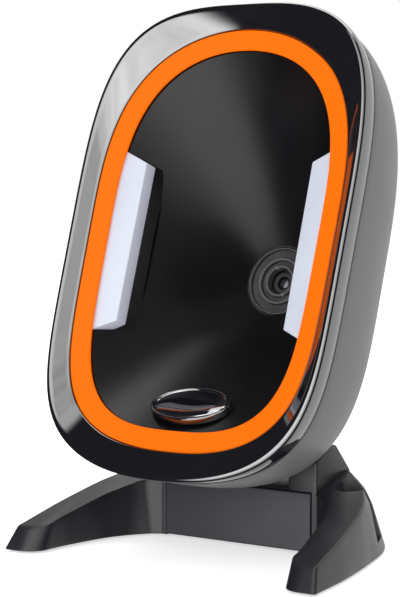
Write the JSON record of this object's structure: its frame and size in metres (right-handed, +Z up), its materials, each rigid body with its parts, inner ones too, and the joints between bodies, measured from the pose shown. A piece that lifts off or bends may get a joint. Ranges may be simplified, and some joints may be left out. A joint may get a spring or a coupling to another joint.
{
  "type": "hands-free desktop barcode scanner",
  "caption": "Upright oval barcode scan head with an orange light ring and side light bars, tilting on a horseshoe desk stand.",
  "frame": {"origin": "centre of the footprint on the surface that the rubber feet stand on", "axes": "+X to the right as the customer faces the scan window, -Y towards the customer, +Z up"},
  "size_m": [0.098, 0.0804, 0.1488],
  "materials": {
    "bezel_gloss_black": "piano gloss",
    "ring_orange": "satin",
    "funnel_satin_black": "satin",
    "shell_satin_grey": "satin",
    "stand_matt_grey": "fine texture",
    "panel_slate": "fine texture",
    "diffuser_white": "frosted",
    "lens_glass": "polished",
    "circuit_board": "solder mask",
    "screw_steel": "plated",
    "ballast_steel": "as cut",
    "washer_nylon": "natural",
    "inner_black": "matt",
    "foot_rubber": "matt"
  },
  "bodies": {
    "stand": {"stand_base": "stand_matt_grey", "front_panel": "panel_slate", "base_plate": "inner_black", "ballast_weight": "ballast_steel", "tilt_pin": "screw_steel", "pin_cap": "stand_matt_grey", "left_friction_washer": "washer_nylon", "right_friction_washer": "washer_nylon", "base_screw_1": "screw_steel", "base_screw_2": "screw_steel", "base_screw_3": "screw_steel", "base_screw_4": "screw_steel", "rubber_foot_1": "foot_rubber", "rubber_foot_2": "foot_rubber", "rubber_foot_3": "foot_rubber", "rubber_foot_4": "foot_rubber"},
    "head": {"front_bezel": "bezel_gloss_black", "status_ring": "ring_orange", "scan_funnel": "funnel_satin_black", "badge_plate": "bezel_gloss_black", "camera_bezel": "funnel_satin_black", "lens_barrel": "inner_black", "front_lens": "lens_glass", "sensor_board": "circuit_board", "main_board": "circuit_board", "beeper": "inner_black", "rear_shell": "shell_satin_grey", "data_socket": "inner_black", "left_diffuser": "diffuser_white", "right_diffuser": "diffuser_white", "left_led_board": "circuit_board", "right_led_board": "circuit_board", "head_screw_1": "screw_steel", "head_screw_2": "screw_steel", "head_screw_3": "screw_steel", "head_screw_4": "screw_steel"}
  },
  "joints": [
    {"name": "head_tilt", "type": "hinge", "parent": "stand", "child": "head", "pos_m": [0, 0.0106, 0.0201], "axis": [-1, 0, 0], "range_deg": [-8, 12]}
  ]
}
